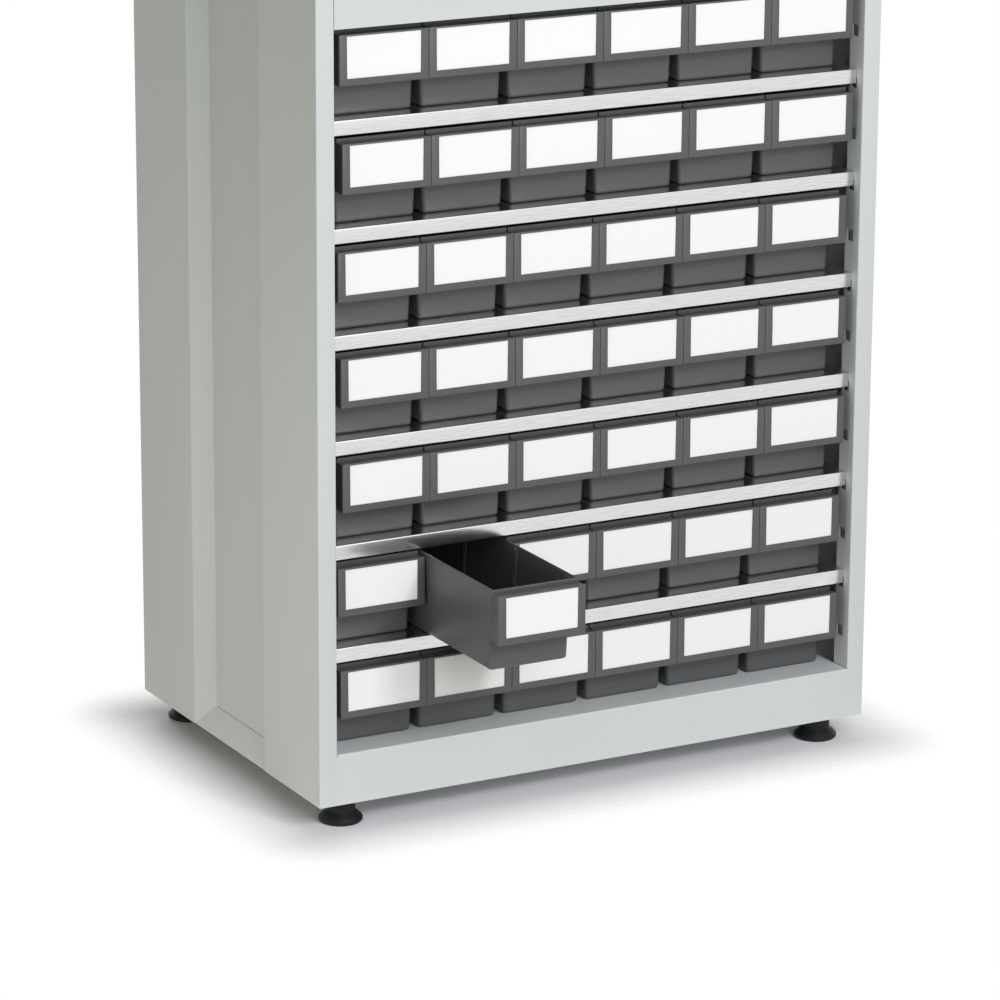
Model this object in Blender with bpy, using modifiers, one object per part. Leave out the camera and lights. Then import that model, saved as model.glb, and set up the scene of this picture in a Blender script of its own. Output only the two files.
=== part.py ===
"""Free-standing steel cabinet with seven rows of six small-parts drawers.

Metres, +Z up. The front looks along -Y and the origin lies on the floor under the middle of the
overall box, with one drawer of the sixth row standing pulled out.
"""

import bmesh
import bpy
from mathutils import Matrix, Vector

MM = 0.001

# Counts
COLUMNS = 6
ROWS = 7

# Fits between neighbouring pieces
CLEARANCE = 0.3 * MM
EMBED = 0.3 * MM

# Drawer, a moulded tub with draft on its walls
DRAWER_WIDTH = 90.7 * MM
DRAWER_HEIGHT = 81.0 * MM
DRAWER_WALL = 1.8 * MM
DRAWER_GAP = 0.3 * MM
RIM_INSET = 0.5 * MM
SIDE_DRAFT = 4.2 * MM
FLOOR_RADIUS = 4.0 * MM
GRIP_DEPTH_AT_RIM = 13.0 * MM
GRIP_DEPTH = 25.0 * MM
REAR_DRAFT = 6.0 * MM
REAR_GAP = 14.0 * MM
LUG_WIDTH = 30.0 * MM
LUG_OVERLAP = 3.5 * MM
LUG_ROOT = 6.0 * MM

# Label panel at the front of a drawer, with a card slot and a window
LABEL_HEIGHT = 38.7 * MM
LABEL_TAPER = 0.6 * MM
PANEL_DROP = 2.75 * MM
PANEL_BORDER_SIDE = 7.55 * MM
PANEL_BORDER_TOP = 1.5 * MM
PANEL_BORDER_BOTTOM = 6.8 * MM
PANEL_FRONT = 0.9 * MM
CARD_SLOT = 0.8 * MM
PANEL_BACK = 1.2 * MM
CARD_SLOT_MARGIN = 1.1 * MM
LEDGE_DROP = 3.5 * MM

# Sheet metal
SHEET = 1.0 * MM
BEND_RADIUS = 1.3 * MM
CABINET_DEPTH = 400.0 * MM
STILE_WIDTH = 18.5 * MM
STILE_FLANGE = 25.0 * MM
SIDE_PLAY = 8.5 * MM
PLINTH_HEIGHT = 50.0 * MM
TOP_RAIL_HEIGHT = 30.0 * MM
RECESS_FRONT = 120.0 * MM
RECESS_REAR = 280.0 * MM
RECESS_CLEAR = 0.5 * MM
FLAP_RISE = 20.0 * MM
FLAP_GAP = 0.9 * MM
BACK_FLANGE = 8.0 * MM

# Shelves and the slots that carry them
LIP_HEIGHT = 14.5 * MM
LIP_SETBACK = 12.0 * MM
LIP_RETURN = 8.0 * MM
RIM_GAP = 4.5 * MM
SLOT_SETBACK = 11.0 * MM
SLOT_WIDTH = 10.0 * MM
SLOT_HEIGHT = 11.0 * MM
SLOT_DROP = 13.5 * MM
SLOTS_PER_ROW = 2
HOOK_HEADROOM = 1.0 * MM
HOOK_WIDTH = 2.0 * MM
HOOK_DROP = 5.0 * MM
HOOK_SIDE_GAP = 0.1 * MM

# Levelling feet
FOOT_HEIGHT = 26.0 * MM
FOOT_INSET_X = 36.0 * MM
FOOT_INSET_Y = 29.0 * MM
PAD_RADIUS = 21.0 * MM
PAD_HEIGHT = 8.0 * MM
PAD_ROUNDING = 2.0 * MM
NECK_RADIUS = 14.0 * MM
STEM_RADIUS = 5.0 * MM
STEM_LENGTH = 24.0 * MM
FOOT_PLATE = 3.0 * MM
FOOT_PLATE_MARGIN = 24.0 * MM
ROUND_STEPS = 24

# Where the drawers stand in the photograph
LABEL_SETBACK = 7.0 * MM
PULLED_ROW = 6
PULLED_COLUMN = 2
PULLED_OUT = 145.0 * MM
PULLED_SIDE_SHIFT = -1.8 * MM
ROW_SHIFTS = [shift * MM for shift in (0.0, 2.6, -2.3, 0.3, 1.6, -1.7, -1.2)]

# Sizes that follow
RIM_WIDTH = DRAWER_WIDTH - 2 * RIM_INSET
FLOOR_WIDTH = RIM_WIDTH - 2 * SIDE_DRAFT
LUG_RISE = RIM_GAP + LUG_OVERLAP
RECESS_DEPTH = STILE_WIDTH - SHEET - RECESS_CLEAR
COLUMN_PITCH = DRAWER_WIDTH + DRAWER_GAP
ROW_PITCH = DRAWER_HEIGHT + RIM_GAP + LIP_HEIGHT
OPENING_WIDTH = COLUMNS * COLUMN_PITCH + 2 * SIDE_PLAY
CABINET_WIDTH = OPENING_WIDTH + 2 * STILE_WIDTH
INNER_HALF = OPENING_WIDTH / 2 - CLEARANCE
PAN_DEPTH = CABINET_DEPTH - SHEET - BACK_FLANGE - CLEARANCE
DRAWER_LENGTH = CABINET_DEPTH - SHEET - LABEL_SETBACK - REAR_GAP
BASE_TOP = FOOT_HEIGHT + PLINTH_HEIGHT
CABINET_TOP = BASE_TOP + ROWS * ROW_PITCH - LIP_HEIGHT + TOP_RAIL_HEIGHT
FRONT_Y = -(CABINET_DEPTH + min(0.0, LABEL_SETBACK - PULLED_OUT)) / 2
PANEL_THICKNESS = PANEL_FRONT + CARD_SLOT + PANEL_BACK
LABEL_WIDTH = DRAWER_WIDTH - 2 * PANEL_BORDER_SIDE
PANEL_TOP = DRAWER_HEIGHT - PANEL_DROP
LABEL_TOP = PANEL_TOP - PANEL_BORDER_TOP
LABEL_BOTTOM = LABEL_TOP - LABEL_HEIGHT
PANEL_BOTTOM = LABEL_BOTTOM - PANEL_BORDER_BOTTOM


def clear_scene():
    """Remove every object, mesh and material left in the scene."""
    for obj in list(bpy.data.objects):
        bpy.data.objects.remove(obj, do_unlink=True)
    for mesh in list(bpy.data.meshes):
        bpy.data.meshes.remove(mesh)
    for material in list(bpy.data.materials):
        bpy.data.materials.remove(material)


def new_collection(name):
    """Make a collection in the scene."""
    collection = bpy.data.collections.new(name)
    bpy.context.scene.collection.children.link(collection)
    return collection


def new_material(name, colour, roughness, metallic):
    """Make a Principled material of one colour."""
    material = bpy.data.materials.new(name)
    material.use_nodes = True
    shader = material.node_tree.nodes["Principled BSDF"]
    shader.inputs["Base Color"].default_value = (*colour, 1.0)
    shader.inputs["Roughness"].default_value = roughness
    shader.inputs["Metallic"].default_value = metallic
    return material


clear_scene()
PARTS = new_collection("parts_organizer")
CUTTERS = new_collection("cutters")
PAINT = new_material("light_grey_paint", (0.60, 0.62, 0.60), 0.45, 0.0)
ZINC = new_material("zinc_coated_steel", (0.66, 0.66, 0.66), 0.35, 1.0)
PLASTIC = new_material("dark_grey_polypropylene", (0.13, 0.13, 0.13), 0.45, 0.0)
RUBBER = new_material("black_foot_plastic", (0.01, 0.01, 0.012), 0.5, 0.0)


def add_part(name, bm, material):
    """Turn a bmesh into a named part."""
    mesh = bpy.data.meshes.new(name)
    bm.to_mesh(mesh)
    bm.free()
    mesh.materials.append(material)
    obj = bpy.data.objects.new(name, mesh)
    PARTS.objects.link(obj)
    return obj


def add_tool(name, bm):
    """Turn a bmesh into a shape that only cuts or joins other parts."""
    mesh = bpy.data.meshes.new(name)
    bm.to_mesh(mesh)
    bm.free()
    obj = bpy.data.objects.new(name, mesh)
    obj.hide_render = True
    obj.display_type = "WIRE"
    CUTTERS.objects.link(obj)
    return obj


def combine(obj, tool, operation):
    """Cut a tool out of a part, or join it to the part."""
    modifier = obj.modifiers.new(tool.name, "BOOLEAN")
    modifier.operation = operation
    modifier.solver = "EXACT"
    modifier.object = tool


def thicken(obj, thickness):
    """Give a sheet its thickness, on its inner side."""
    modifier = obj.modifiers.new("thickness", "SOLIDIFY")
    modifier.thickness = thickness
    modifier.offset = -1.0
    modifier.use_even_offset = True


def add_block(bm, place):
    """Add a cube and put each corner where place says, from its -1 or 1 on each axis."""
    verts = bmesh.ops.create_cube(bm, size=2.0)["verts"]
    for vert in verts:
        vert.co = place(*(round(value) for value in vert.co))
    return verts


def add_box(bm, low, high):
    """Add a box between two corners."""
    corners = (low, None, high)
    return add_block(bm, lambda *ends: [corners[end + 1][axis] for axis, end in enumerate(ends)])


def faces_towards(bm, direction):
    """Return the faces that look along a direction."""
    bm.normal_update()
    return [face for face in bm.faces if face.normal.dot(Vector(direction)) > 0.9]


def remove_faces(bm, direction):
    """Take away the faces that look along a direction."""
    bmesh.ops.delete(bm, geom=faces_towards(bm, direction), context="FACES_ONLY")


def fold_sheet(bm, section, run, outside):
    """Sweep an open section along run as one sheet, round its bends and face it outside."""
    ends = [bm.verts.new(point) for point in section]
    edges = [bm.edges.new(pair) for pair in zip(ends, ends[1:])]
    swept = bmesh.ops.extrude_edge_only(bm, edges=edges)["geom"]
    far = [item for item in swept if isinstance(item, bmesh.types.BMVert)]
    bmesh.ops.translate(bm, verts=far, vec=run)
    bends = [edge for edge in bm.edges if len(edge.link_faces) == 2]
    bmesh.ops.bevel(bm, geom=bends, offset=BEND_RADIUS, segments=2, profile=0.5, affect="EDGES")
    bm.normal_update()
    widest = max(bm.faces, key=lambda face: face.calc_area())
    if widest.normal.dot(Vector(outside)) < 0:
        bmesh.ops.reverse_faces(bm, faces=bm.faces[:])


def depth(distance):
    """World Y of a place this far behind the front of the stiles."""
    return FRONT_Y + distance


def shelf_level(row):
    """Height of the surface that a row stands on, rows counted from the top."""
    return BASE_TOP + (ROWS - row) * ROW_PITCH


def slot_levels():
    """Heights of the middles of the slots in the side panels."""
    step = ROW_PITCH / SLOTS_PER_ROW
    first = BASE_TOP + step - SLOT_DROP
    return [first + index * step for index in range(ROWS * SLOTS_PER_ROW - 1)]


def rear_mirror(distance):
    """Distance from the front of a place that lies as far from the back."""
    return CABINET_DEPTH - distance


def make_side_panel(name, side):
    """Folded side sheet: stile, slotted flanges, pressed recess and bottom flap. side is -1 or 1."""

    def point(inward, back, height=FOOT_HEIGHT):
        return Vector((side * (CABINET_WIDTH / 2 - inward), depth(back), height))

    section = [
        point(STILE_WIDTH, STILE_FLANGE),
        point(STILE_WIDTH, 0.0),
        point(0.0, 0.0),
        point(0.0, RECESS_FRONT),
        point(RECESS_DEPTH, RECESS_FRONT + RECESS_DEPTH),
        point(RECESS_DEPTH, RECESS_REAR - RECESS_DEPTH),
        point(0.0, RECESS_REAR),
        point(0.0, CABINET_DEPTH),
        point(STILE_WIDTH, CABINET_DEPTH),
        point(STILE_WIDTH, CABINET_DEPTH - STILE_FLANGE),
    ]
    height = CABINET_TOP - SHEET - CLEARANCE - FOOT_HEIGHT
    bm = bmesh.new()
    fold_sheet(bm, section, (0.0, 0.0, height), (side, 0.0, 0.0))
    panel = add_part(name, bm, PAINT)
    thicken(panel, SHEET)

    slots = bmesh.new()
    flange = side * OPENING_WIDTH / 2
    for level in slot_levels():
        for back in (SLOT_SETBACK, rear_mirror(SLOT_SETBACK + SLOT_WIDTH)):
            low = (flange - 2 * SHEET, depth(back), level - SLOT_HEIGHT / 2)
            high = (flange + 2 * SHEET, depth(back + SLOT_WIDTH), level + SLOT_HEIGHT / 2)
            add_box(slots, low, high)
    combine(panel, add_tool(name + "_slots", slots), "DIFFERENCE")

    flap = bmesh.new()
    root = SHEET / 2
    outer, inner = FLAP_GAP, RECESS_DEPTH - FLAP_GAP
    corners = [
        point(outer, RECESS_FRONT + outer - root, FOOT_HEIGHT),
        point(inner, RECESS_FRONT + inner - root, FOOT_HEIGHT + FLAP_RISE),
        point(inner, RECESS_REAR - inner - 2 * FLAP_GAP, FOOT_HEIGHT + FLAP_RISE),
        point(outer, RECESS_REAR - outer - 2 * FLAP_GAP, FOOT_HEIGHT),
    ]
    flap.faces.new([flap.verts.new(corner) for corner in corners[::side]])
    flap_tool = add_tool(name + "_flap", flap)
    thicken(flap_tool, SHEET)
    combine(panel, flap_tool, "UNION")
    return panel


def make_base():
    """Folded pan, open below, whose front is the plinth, with a plate in each corner for a foot."""
    bm = bmesh.new()
    low = (-INNER_HALF, depth(0.0), FOOT_HEIGHT)
    high = (INNER_HALF, depth(PAN_DEPTH), BASE_TOP)
    add_box(bm, low, high)
    remove_faces(bm, (0.0, 0.0, -1.0))
    top_edges = [edge for edge in bm.edges if all(vert.co.z > FOOT_HEIGHT + EMBED for vert in edge.verts)]
    bmesh.ops.bevel(bm, geom=top_edges, offset=BEND_RADIUS, segments=2, profile=0.5, affect="EDGES")
    base = add_part("base", bm, PAINT)
    thicken(base, SHEET)

    plates = bmesh.new()
    holes = bmesh.new()
    for x, y in foot_places():
        side = 1 if x > 0 else -1
        end = 1 if y > depth(PAN_DEPTH / 2) else -1
        wall_x = side * (INNER_HALF - SHEET / 2)
        wall_y = depth(PAN_DEPTH - SHEET / 2) if end > 0 else depth(SHEET / 2)
        inner_x = x - side * FOOT_PLATE_MARGIN
        inner_y = y - end * FOOT_PLATE_MARGIN
        low = (min(wall_x, inner_x), min(wall_y, inner_y), FOOT_HEIGHT + EMBED)
        high = (max(wall_x, inner_x), max(wall_y, inner_y), FOOT_HEIGHT + EMBED + FOOT_PLATE)
        add_box(plates, low, high)
        bmesh.ops.create_cone(
            holes,
            cap_ends=True,
            segments=ROUND_STEPS,
            radius1=STEM_RADIUS + CLEARANCE,
            radius2=STEM_RADIUS + CLEARANCE,
            depth=4 * FOOT_PLATE,
            matrix=Matrix.Translation((x, y, FOOT_HEIGHT + FOOT_PLATE / 2)),
        )
    combine(base, add_tool("base_foot_plates", plates), "UNION")
    combine(base, add_tool("base_foot_holes", holes), "DIFFERENCE")
    return base


def make_top_panel():
    """Cover sheet over the whole cabinet with a rim of rails turned down between the side panels."""
    bm = bmesh.new()
    low = (-CABINET_WIDTH / 2, depth(0.0), CABINET_TOP - SHEET)
    high = (CABINET_WIDTH / 2, depth(CABINET_DEPTH), CABINET_TOP)
    add_box(bm, low, high)
    top = add_part("top_panel", bm, PAINT)

    rails = bmesh.new()
    low = (-INNER_HALF, depth(EMBED), CABINET_TOP - TOP_RAIL_HEIGHT)
    high = (INNER_HALF, depth(PAN_DEPTH), CABINET_TOP - SHEET / 2)
    add_box(rails, low, high)
    remove_faces(rails, (0.0, 0.0, -1.0))
    remove_faces(rails, (0.0, 0.0, 1.0))
    rail_tool = add_tool("top_rails", rails)
    thicken(rail_tool, SHEET)
    combine(top, rail_tool, "UNION")
    return top


def make_back_panel():
    """Flat sheet between the rear stiles with its edges folded forward."""
    section = [
        (-INNER_HALF, depth(CABINET_DEPTH - SHEET - BACK_FLANGE), FOOT_HEIGHT),
        (-INNER_HALF, depth(CABINET_DEPTH), FOOT_HEIGHT),
        (INNER_HALF, depth(CABINET_DEPTH), FOOT_HEIGHT),
        (INNER_HALF, depth(CABINET_DEPTH - SHEET - BACK_FLANGE), FOOT_HEIGHT),
    ]
    height = CABINET_TOP - SHEET - CLEARANCE - FOOT_HEIGHT
    bm = bmesh.new()
    fold_sheet(bm, section, (0.0, 0.0, height), (0.0, 1.0, 0.0))
    back = add_part("back_panel", bm, PAINT)
    thicken(back, SHEET)
    return back


def make_shelf(row):
    """Folded shelf under a row, with lips front and rear and a hook in a slot at each corner."""
    name = f"shelf_under_row_{row}"
    level = shelf_level(row)
    front = LIP_SETBACK
    rear = rear_mirror(LIP_SETBACK)

    def point(back, drop):
        return (-INNER_HALF, depth(back), level - drop)

    section = [
        point(front + LIP_RETURN, LIP_HEIGHT),
        point(front, LIP_HEIGHT),
        point(front, 0.0),
        point(rear, 0.0),
        point(rear, LIP_HEIGHT),
    ]
    bm = bmesh.new()
    fold_sheet(bm, section, (2 * INNER_HALF, 0.0, 0.0), (0.0, 0.0, 1.0))
    shelf = add_part(name, bm, ZINC)
    thicken(shelf, SHEET)

    slot_bottom = level - SLOT_DROP - SLOT_HEIGHT / 2
    slot_top = slot_bottom + SLOT_HEIGHT
    catch = OPENING_WIDTH / 2 + SHEET + CLEARANCE
    hooks = bmesh.new()
    for side in (-1, 1):
        for lip in (front, rear - SHEET):
            low_y = depth(lip + HOOK_SIDE_GAP)
            high_y = depth(lip + SHEET - HOOK_SIDE_GAP)
            outline = [
                (INNER_HALF - EMBED, slot_top - HOOK_HEADROOM),
                (catch + HOOK_WIDTH, slot_top - HOOK_HEADROOM),
                (catch + HOOK_WIDTH, slot_bottom - HOOK_DROP),
                (catch, slot_bottom - HOOK_DROP),
                (catch, slot_bottom + CLEARANCE),
                (INNER_HALF - EMBED, slot_bottom + CLEARANCE),
            ]
            face = hooks.faces.new([hooks.verts.new((side * x, low_y, z)) for x, z in outline])
            grown = bmesh.ops.extrude_face_region(hooks, geom=[face], use_keep_orig=True)["geom"]
            far = [item for item in grown if isinstance(item, bmesh.types.BMVert)]
            bmesh.ops.translate(hooks, verts=far, vec=(0.0, high_y - low_y, 0.0))
    bmesh.ops.recalc_face_normals(hooks, faces=hooks.faces[:])
    combine(shelf, add_tool(name + "_hooks", hooks), "UNION")
    return shelf


def wall_at(height):
    """Half width of the tub and set-back of its front wall at a height above its floor."""
    half = (FLOOR_WIDTH + (RIM_WIDTH - FLOOR_WIDTH) * height / DRAWER_HEIGHT) / 2
    lean = max(0.0, height - PANEL_BOTTOM) / (DRAWER_HEIGHT - PANEL_BOTTOM)
    return half, GRIP_DEPTH + (GRIP_DEPTH_AT_RIM - GRIP_DEPTH) * lean


def make_drawer_mesh():
    """Tub, grip hood, label panel and rear stop lug joined into one moulding, front at y = 0."""

    def tub_corner(x, y, z):
        height = DRAWER_HEIGHT if z > 0 else 0.0
        half, setback = wall_at(height)
        rear = DRAWER_LENGTH if z > 0 else DRAWER_LENGTH - REAR_DRAFT
        return (x * half, rear if y > 0 else setback, height)

    bm = bmesh.new()
    add_block(bm, tub_corner)
    remove_faces(bm, (0.0, 0.0, 1.0))
    upright = [edge for edge in bm.edges if abs(edge.verts[0].co.z - edge.verts[1].co.z) > EMBED]
    rear = [edge for edge in upright if edge.verts[0].co.y > DRAWER_LENGTH / 2]
    front = [edge for edge in upright if edge not in rear]
    bmesh.ops.subdivide_edges(bm, edges=front, cuts=1)
    half, setback = wall_at(PANEL_BOTTOM)
    for vert in bm.verts:
        if EMBED < vert.co.z < DRAWER_HEIGHT - EMBED:
            vert.co = (half if vert.co.x > 0 else -half, setback, PANEL_BOTTOM)
    lower = [edge for edge in bm.edges if all(vert.co.z < EMBED for vert in edge.verts)]
    bmesh.ops.bevel(bm, geom=lower + rear, offset=FLOOR_RADIUS, segments=2, profile=0.5, affect="EDGES")
    tub = add_part("drawer", bm, PLASTIC)
    thicken(tub, DRAWER_WALL)

    def hood_corner(x, y, z):
        height = DRAWER_HEIGHT - LEDGE_DROP if z > 0 else PANEL_BOTTOM + EMBED
        half, setback = wall_at(height)
        if y < 0:
            return (x * (DRAWER_WIDTH / 2 - EMBED), PANEL_FRONT + CARD_SLOT + PANEL_BACK / 2, height)
        return (x * (half - EMBED), setback + DRAWER_WALL / 2, height)

    hood = bmesh.new()
    add_block(hood, hood_corner)
    hood.normal_update()
    walls = [face for face in hood.faces if abs(face.normal.x) > 0.9 or face.normal.z > 0.9]
    ends = [face for face in hood.faces if face not in walls]
    bmesh.ops.delete(hood, geom=ends, context="FACES_ONLY")
    hood_tool = add_tool("drawer_hood", hood)
    thicken(hood_tool, DRAWER_WALL)
    combine(tub, hood_tool, "UNION")

    panel = bmesh.new()
    low = (-DRAWER_WIDTH / 2, 0.0, PANEL_BOTTOM)
    high = (DRAWER_WIDTH / 2, PANEL_THICKNESS, PANEL_TOP)
    add_box(panel, low, high)
    combine(tub, add_tool("drawer_label_panel", panel), "UNION")

    lug = bmesh.new()
    wall_middle = DRAWER_LENGTH - DRAWER_WALL / 2
    lug_half = DRAWER_WALL / 2 - EMBED
    low = (-LUG_WIDTH / 2, wall_middle - lug_half, DRAWER_HEIGHT - LUG_ROOT)
    high = (LUG_WIDTH / 2, wall_middle + lug_half, DRAWER_HEIGHT + LUG_RISE)
    add_box(lug, low, high)
    combine(tub, add_tool("drawer_stop_lug", lug), "UNION")

    card_half = LABEL_WIDTH / 2 + CARD_SLOT_MARGIN
    slot = bmesh.new()
    low = (-card_half, PANEL_FRONT, LABEL_BOTTOM - CARD_SLOT_MARGIN)
    high = (card_half, PANEL_FRONT + CARD_SLOT, PANEL_TOP + LEDGE_DROP)
    add_box(slot, low, high)
    combine(tub, add_tool("drawer_card_slot", slot), "DIFFERENCE")

    def window_corner(x, y, z):
        half = LABEL_WIDTH / 2 if z > 0 else (LABEL_WIDTH - LABEL_TAPER) / 2
        height = LABEL_TOP if z > 0 else LABEL_BOTTOM
        return (x * half, PANEL_FRONT + CARD_SLOT / 2 if y > 0 else -PANEL_FRONT, height)

    window = bmesh.new()
    add_block(window, window_corner)
    combine(tub, add_tool("drawer_label_window", window), "DIFFERENCE")

    evaluated = tub.evaluated_get(bpy.context.evaluated_depsgraph_get())
    mesh = bpy.data.meshes.new_from_object(evaluated)
    mesh.name = "drawer"
    bpy.data.objects.remove(tub, do_unlink=True)
    return mesh


def make_drawers():
    """Stand a drawer in every place, the rows a little to one side as they were pushed in."""
    mesh = make_drawer_mesh()
    for row in range(1, ROWS + 1):
        for column in range(1, COLUMNS + 1):
            drawer = bpy.data.objects.new(f"drawer_r{row}_c{column}", mesh)
            x = (column - (COLUMNS + 1) / 2) * COLUMN_PITCH + ROW_SHIFTS[row - 1]
            y = depth(LABEL_SETBACK)
            if row == PULLED_ROW and column <= PULLED_COLUMN:
                x += PULLED_SIDE_SHIFT
            if row == PULLED_ROW and column == PULLED_COLUMN:
                y -= PULLED_OUT
            drawer.location = (x, y, shelf_level(row) + CLEARANCE)
            PARTS.objects.link(drawer)


def foot_places():
    """X and Y of the four feet, front left first."""
    x = CABINET_WIDTH / 2 - FOOT_INSET_X
    backs = (FOOT_INSET_Y, rear_mirror(FOOT_INSET_Y))
    return [(side * x, depth(back)) for back in backs for side in (-1, 1)]


def make_feet():
    """Turned feet: a pad on the floor, a neck under the base and a stem through its plate."""
    shoulder = FOOT_HEIGHT + EMBED - CLEARANCE
    profile = [
        (0.0, shoulder + STEM_LENGTH),
        (STEM_RADIUS, shoulder + STEM_LENGTH),
        (STEM_RADIUS, shoulder),
        (NECK_RADIUS, shoulder),
        (NECK_RADIUS, PAD_HEIGHT + PAD_ROUNDING),
        (PAD_RADIUS - PAD_ROUNDING, PAD_HEIGHT),
        (PAD_RADIUS, PAD_HEIGHT - PAD_ROUNDING),
        (PAD_RADIUS, PAD_ROUNDING),
        (PAD_RADIUS - PAD_ROUNDING, 0.0),
        (0.0, 0.0),
    ]
    names = ("foot_front_left", "foot_front_right", "foot_rear_left", "foot_rear_right")
    for name, (x, y) in zip(names, foot_places()):
        bm = bmesh.new()
        verts = [bm.verts.new((radius, 0.0, height)) for radius, height in profile]
        for pair in zip(verts, verts[1:]):
            bm.edges.new(pair)
        foot = add_part(name, bm, RUBBER)
        foot.location = (x, y, 0.0)
        turn = foot.modifiers.new("turned", "SCREW")
        turn.axis = "Z"
        turn.steps = ROUND_STEPS
        turn.render_steps = ROUND_STEPS
        turn.use_merge_vertices = True
        turn.merge_threshold = 0.01 * MM


make_side_panel("side_panel_left", -1)
make_side_panel("side_panel_right", 1)
make_base()
make_top_panel()
make_back_panel()
for shelf_row in range(1, ROWS):
    make_shelf(shelf_row)
make_drawers()
make_feet()
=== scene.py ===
import math

import bmesh
import bpy
from mathutils import Matrix, Quaternion, Vector


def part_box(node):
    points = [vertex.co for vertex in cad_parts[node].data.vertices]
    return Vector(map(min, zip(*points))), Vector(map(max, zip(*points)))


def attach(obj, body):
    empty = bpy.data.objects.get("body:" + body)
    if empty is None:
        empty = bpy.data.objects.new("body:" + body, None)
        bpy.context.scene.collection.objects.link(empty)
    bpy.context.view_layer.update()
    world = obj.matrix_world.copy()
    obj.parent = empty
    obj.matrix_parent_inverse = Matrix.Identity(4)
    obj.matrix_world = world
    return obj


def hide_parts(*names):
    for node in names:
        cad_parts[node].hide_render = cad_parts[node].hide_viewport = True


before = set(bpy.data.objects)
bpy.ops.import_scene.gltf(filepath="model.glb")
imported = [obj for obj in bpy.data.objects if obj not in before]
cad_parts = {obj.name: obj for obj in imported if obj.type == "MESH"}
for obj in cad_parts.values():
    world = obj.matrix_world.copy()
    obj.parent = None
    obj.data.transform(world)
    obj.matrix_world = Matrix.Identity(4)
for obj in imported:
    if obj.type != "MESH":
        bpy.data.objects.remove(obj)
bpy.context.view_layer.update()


# Side panels
# Each side of the cabinet is one steel sheet, folded on a press brake into a stile front and rear with a
# slotted flange behind it, and pressed in the middle to a shallow recess with a flap at its foot.
# It is sprayed with light grey powder and baked, which leaves a satin skin with a fine orange peel.
MM = 0.001
SHEET = 1.0 * MM
BEND_RADIUS = 1.3 * MM
BEND_STEPS = 5
STILE_WIDTH = 18.5 * MM
STILE_FLANGE = 25.0 * MM
RECESS_FRONT = 120.0 * MM
RECESS_REAR = 280.0 * MM
RECESS_DEPTH = 17.0 * MM
FLAP_RISE = 20.0 * MM
FLAP_GAP = 0.9 * MM
SLOT_SETBACK = 11.0 * MM
SLOT_WIDTH = 10.0 * MM
SLOT_HEIGHT = 11.0 * MM
SLOT_DROP = 13.5 * MM
SLOTS_PER_ROW = 2
SMOOTH_ANGLE = math.radians(35.0)
FACING = 0.9
COAT_LIGHT = "D6D9D7"
COAT_DARK = "CFD3D0"
COAT_PEEL = 1.6 * MM
COAT_PEEL_DEPTH = 0.05 * MM
COAT_CLOUD = 150.0 * MM
COAT_SMOOTHEST = 0.40
COAT_ROUGHEST = 0.50
COAT_IOR = 1.5
NOISE_LOW = 0.3
NOISE_HIGH = 0.7

side_low, side_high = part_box("side_panel_left")
front_y, back_y = side_low.y, side_high.y
foot_top = side_low.z
half_width = -side_low.x
opening_half = half_width - STILE_WIDTH
cabinet_depth = back_y - front_y
base_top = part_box("base")[1].z
row_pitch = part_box("shelf_under_row_1")[1].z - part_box("shelf_under_row_2")[1].z
row_count = round((side_high.z - base_top) / row_pitch)


def linear(hex_colour):
    """Turn an sRGB hex colour into linear red, green, blue and alpha."""
    channels = [int(hex_colour[place:place + 2], 16) / 255 for place in (0, 2, 4)]
    return [c / 12.92 if c <= 0.04045 else ((c + 0.055) / 1.055) ** 2.4 for c in channels] + [1.0]


def add_node(owner, kind, inputs=None, **settings):
    """Add a shader node with its settings; an input takes a value or another node's output."""
    tree = owner.node_tree
    node = tree.nodes.new(kind)
    for name, value in settings.items():
        setattr(node, name, value)
    for name, value in (inputs or {}).items():
        if isinstance(value, bpy.types.NodeSocket):
            tree.links.new(value, node.inputs[name])
        else:
            node.inputs[name].default_value = value
    return node


def deselect():
    """Leave edit mode and select nothing."""
    if bpy.context.object and bpy.context.object.mode == "EDIT":
        bpy.ops.object.mode_set(mode="OBJECT")
    bpy.ops.object.select_all(action="DESELECT")


def begin_edit(piece):
    """Select one piece alone and open it in edit mode."""
    deselect()
    piece.select_set(True)
    bpy.context.view_layer.objects.active = piece
    bpy.ops.object.mode_set(mode="EDIT")
    return piece


def pick(kind, test):
    """Select the corners, edges or faces of the open piece that pass a test, and nothing else."""
    bpy.ops.mesh.select_mode(type=kind)
    bpy.ops.mesh.select_all(action="DESELECT")
    mesh = bpy.context.object.data
    shape = bmesh.from_edit_mesh(mesh)
    shape.normal_update()
    items = {"VERT": shape.verts, "EDGE": shape.edges, "FACE": shape.faces}[kind]
    for item in [item for item in items if test(item)]:
        item.select_set(True)
    shape.select_flush_mode()
    bmesh.update_edit_mesh(mesh)


def middle(edge):
    """Middle of an edge."""
    return (edge.verts[0].co + edge.verts[1].co) / 2


def along(edge, axis):
    """Whether an edge runs along the axis of this number."""
    step = edge.verts[1].co - edge.verts[0].co
    return abs(step[axis]) > FACING * step.length


def add_cube(name, low, high):
    """Add a cube primitive between two corners and open it in edit mode."""
    deselect()
    low, high = Vector(low), Vector(high)
    bpy.ops.mesh.primitive_cube_add(size=1.0, location=(low + high) / 2, scale=high - low)
    bpy.ops.object.transform_apply(location=True, rotation=True, scale=True)
    piece = bpy.context.object
    piece.name = name
    return begin_edit(piece)


def add_more_cube(low, high):
    """Add one more cube between two corners to the piece that is open in edit mode."""
    low, high = Vector(low), Vector(high)
    bpy.ops.mesh.primitive_cube_add(size=1.0, location=(low + high) / 2, scale=high - low)


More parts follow.
